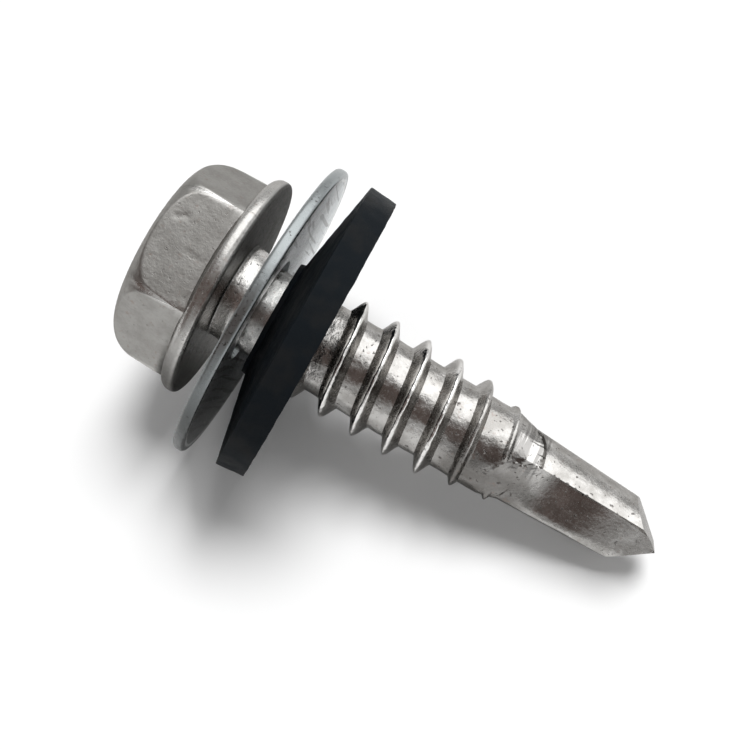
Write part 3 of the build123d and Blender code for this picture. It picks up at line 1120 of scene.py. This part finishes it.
def leanBy(points, height, turn, angle):
    axis = Vector((-sin(radians(turn)), cos(radians(turn)), 0))
    turned = np.array(Matrix.Rotation(radians(angle), 3, axis))
    middle = np.array([0, 0, height])
    return (points - middle) @ turned.T + middle


def roundedOutline(corners, spacing, count=5):
    # corners are (radius, height, rounding); gives points round the closed outline
    outline = []
    for i, (radius, height, rounding) in enumerate(corners):
        here = np.array([radius, height])
        before = np.array(corners[i - 1][:2]) - here
        after = np.array(corners[(i + 1) % len(corners)][:2]) - here
        first = here + before / np.hypot(*before) * rounding
        last = here + after / np.hypot(*after) * rounding
        for share in steps(count, 0):
            outline.append(first * (1 - share) ** 2 + here * 2 * share * (1 - share) + last * share ** 2)
    points = []
    for i, here in enumerate(outline):
        step = outline[(i + 1) % len(outline)] - here
        parts = max(1, int(np.hypot(*step) / spacing))
        points += [here + step * k / parts for k in range(parts)]
    return np.array(points)


def turnedRings(outline, count):
    angle = np.arange(count) * 2 * pi / count
    return np.array([ringPoints(r * np.ones(count), angle, z) for r, z in outline])


def buildSteelWasher():
    w = steelWasher
    rim, bore, gap = w["radius"], w["bore"], w["gap"]
    outline = roundedOutline([
        (bore, gap, w["boreEdge"]), (rim, gap + w["dish"], w["edge"]),
        (rim, gap + w["dish"] + w["thickness"], w["edge"]), (bore, gap + w["thickness"], w["boreEdge"]),
    ], w["spacing"])
    rings = leanBy(turnedRings(outline, w["columns"]), gap, w["leanTurn"], w["lean"])
    finishPiece("dishedWasher", [gridMesh("disc", rings, loop=True)], washerSteel(),
                "steel_washer", "steel_washer")


def buildRubberWasher():
    w = rubberWasher
    rim, bore, gap = w["radius"], w["bore"], w["gap"]
    slope = w["dish"] / (rim - bore)
    lip, (lipCrown, lipFoot) = bore + w["lipWidth"], w["lipEdges"]
    outline = roundedOutline([
        (bore, gap - w["lipHeight"], w["boreEdge"]),
        (lip - w["lipHeight"] / 2, gap - w["lipHeight"], lipCrown),
        (lip, gap + slope * w["lipWidth"], lipFoot), (rim, gap + w["dish"], w["edge"]),
        (rim - w["rimDraw"], gap + w["dish"] + w["thickness"], w["edge"]),
        (bore, gap + w["thickness"], w["boreEdge"])], w["spacing"])
    rings = turnedRings(outline, w["columns"])
    rings = leanBy(rings, gap + w["dish"] + w["thickness"], w["leanTurn"], w["lean"])
    # the disc leans, but its bore stays straight on the shank
    across = np.hypot(rings[..., 0], rings[..., 1])
    straight = np.maximum(across, bore)
    straight[outline[:, 0] < bore + weld * 5] = bore
    rings[..., :2] *= (straight / across)[..., None]
    rings[..., 0] += w["offset"] * portion(straight, bore, rim)
    ragged = np.stack([waves(rings, w["raggedSize"], seed) for seed in w["raggedSeeds"]], -1)
    rings = rings + w["ragged"] * ragged * (straight > lip)[..., None]

    def pressFlat(points, mesh):
        # the rim is pressed flat where it rests on the table
        turned = np.array(toFrame)
        height = points @ turned[2, :3] + turned[2, 3]
        return points - np.outer(np.minimum(height, 0), turned[2, :3]) / mm ** 2

    finishPiece("sealWasher", [gridMesh("disc", rings, loop=True)], sealRubber(),
                "rubber_washer", "rubber_washer", change=pressFlat)


buildSteelWasher()
buildRubberWasher()

studio = {
    "floorSize": 6.0,
    "floorTone": (0.9, 0.9, 0.9),
    "floorGlow": 0.05,         # seen by the camera only, so that the bare floor is white
    "keyFrom": (0.04, 0.27, 0.96),
    "keySpread": 30.0,
    "keyStrength": 2.75,
    "fill": 0.27,
    "tentRadius": 0.45,
    "tentDetail": 4,
    "tentWall": (0.57, 0.57, 0.57),
    "squeeze": 0.55,           # how far box and shade are drawn out along the screw
    # softbox and shades, as bright metal shows them: direction, spread and soft edge in degrees
    "softbox": ((0.22, 0.52, 0.83), 33.0, 7.0),
    "boxTone": (2.15, 2.15, 2.15),
    "cameraShade": ((0.20, -0.64, 0.74), 24.0, 9.0),
    "headShade": ((-0.83, -0.44, 0.34), 32.0, 10.0),
    "shadeTone": (0.150, 0.118, 0.108),
}


def buildFloor():
    mesh = bpy.data.meshes.new("floor")
    far = studio["floorSize"]
    mesh.from_pydata([(-far, -far, 0), (far, -far, 0), (far, far, 0), (-far, far, 0)], [], [(0, 1, 2, 3)])
    floor = addObject("floor", mesh)
    material, tree = newMaterial("paleFloor")
    diffuse = add(tree, "ShaderNodeBsdfDiffuse", {"Color": colour(*studio["floorTone"])})
    glow = add(tree, "ShaderNodeEmission", {"Color": colour(1, 1, 1), "Strength": studio["floorGlow"]})
    path = add(tree, "ShaderNodeLightPath")
    seen = add(tree, "ShaderNodeMixShader", {0: path.outputs["Is Camera Ray"], 2: glow.outputs[0]})
    finishMaterial(tree, "ShaderNodeAddShader", {0: diffuse.outputs[0], 1: seen.outputs[0]})
    mesh.materials.append(material)


def addKeyLight():
    # a wide soft light from above and behind; the tent stands for it in reflections
    lamp = bpy.data.lights.new("keyLight", "SUN")
    lamp.angle = radians(studio["keySpread"])
    lamp.energy = studio["keyStrength"]
    light = addObject("keyLight", lamp)
    light.rotation_euler = (-Vector(studio["keyFrom"])).to_track_quat("-Z", "Y").to_euler()
    light.visible_glossy = False


def around(tree, place, direction, spread, soft):
    # 1 near a direction and 0 past a spread of degrees, fading over the soft degrees to both sides
    towards = add(tree, "ShaderNodeVectorMath", {
        0: place, 1: Vector(direction).normalized()}, operation="DOT_PRODUCT").outputs["Value"]
    return ramp(tree, towards, cos(radians(spread + soft)), cos(radians(spread - soft)))


def drawnOut(tree, place):
    # directions squeezed along the screw, so that the box and the camera's shade run along it
    axis = (toFrame.to_3x3().normalized() @ Vector((0, 0, 1))).normalized()
    along = add(tree, "ShaderNodeVectorMath", {0: place, 1: axis}, operation="DOT_PRODUCT").outputs["Value"]
    part = add(tree, "ShaderNodeVectorMath", {
        0: tuple(axis), "Scale": calc(tree, "MULTIPLY", along, studio["squeeze"])}, operation="SCALE")
    rest = add(tree, "ShaderNodeVectorMath", {0: place, 1: part.outputs["Vector"]}, operation="SUBTRACT")
    return add(tree, "ShaderNodeVectorMath", {0: rest.outputs["Vector"]},
               operation="NORMALIZE").outputs["Vector"]


def buildTent():
    # ball of light cloth that only shiny surfaces see
    ball = bmesh.new()
    bmesh.ops.create_icosphere(ball, subdivisions=studio["tentDetail"], radius=studio["tentRadius"])
    mesh = bpy.data.meshes.new("tent")
    ball.to_mesh(mesh)
    ball.free()
    tent = addObject("tent", mesh)
    material, tree = newMaterial("tentCloth")
    place = add(tree, "ShaderNodeTexCoord").outputs["Object"]
    place = add(tree, "ShaderNodeVectorMath", {0: place}, operation="NORMALIZE").outputs["Vector"]
    drawn = drawnOut(tree, place)
    wall, box, shade = (colour(*studio[name]) for name in ("tentWall", "boxTone", "shadeTone"))
    tone = blendColour(tree, around(tree, drawn, *studio["softbox"]), wall, box)
    tone = blendColour(tree, around(tree, drawn, *studio["cameraShade"]), tone, shade)
    tone = blendColour(tree, around(tree, place, *studio["headShade"]), tone, shade)
    finishMaterial(tree, "ShaderNodeEmission", {"Color": tone, "Strength": 1.0})
    mesh.materials.append(material)
    tent.visible_camera = False
    tent.visible_diffuse = False
    tent.visible_shadow = False
    tent.visible_transmission = False


def setWorld():
    world = bpy.data.worlds.new("studio")
    bpy.context.scene.world = world
    world.use_nodes = True
    tree = world.node_tree
    tree.nodes.clear()
    path = add(tree, "ShaderNodeLightPath")
    bare = calc(tree, "MAXIMUM", path.outputs["Is Camera Ray"], path.outputs["Is Transmission Ray"])
    bare = calc(tree, "MAXIMUM", bare, path.outputs["Is Glossy Ray"])
    fill = add(tree, "ShaderNodeBackground", {0: colour(1, 1, 1), 1: studio["fill"]})
    white = add(tree, "ShaderNodeBackground", {0: colour(1, 1, 1), 1: 1.0})
    finishMaterial(tree, "ShaderNodeMixShader", {
        0: bare, 1: fill.outputs[0], 2: white.outputs[0]}, "ShaderNodeOutputWorld")


buildFloor()
addKeyLight()
buildTent()
setWorld()
bpy.context.scene.view_settings.view_transform = "Standard"
print("stage ready")
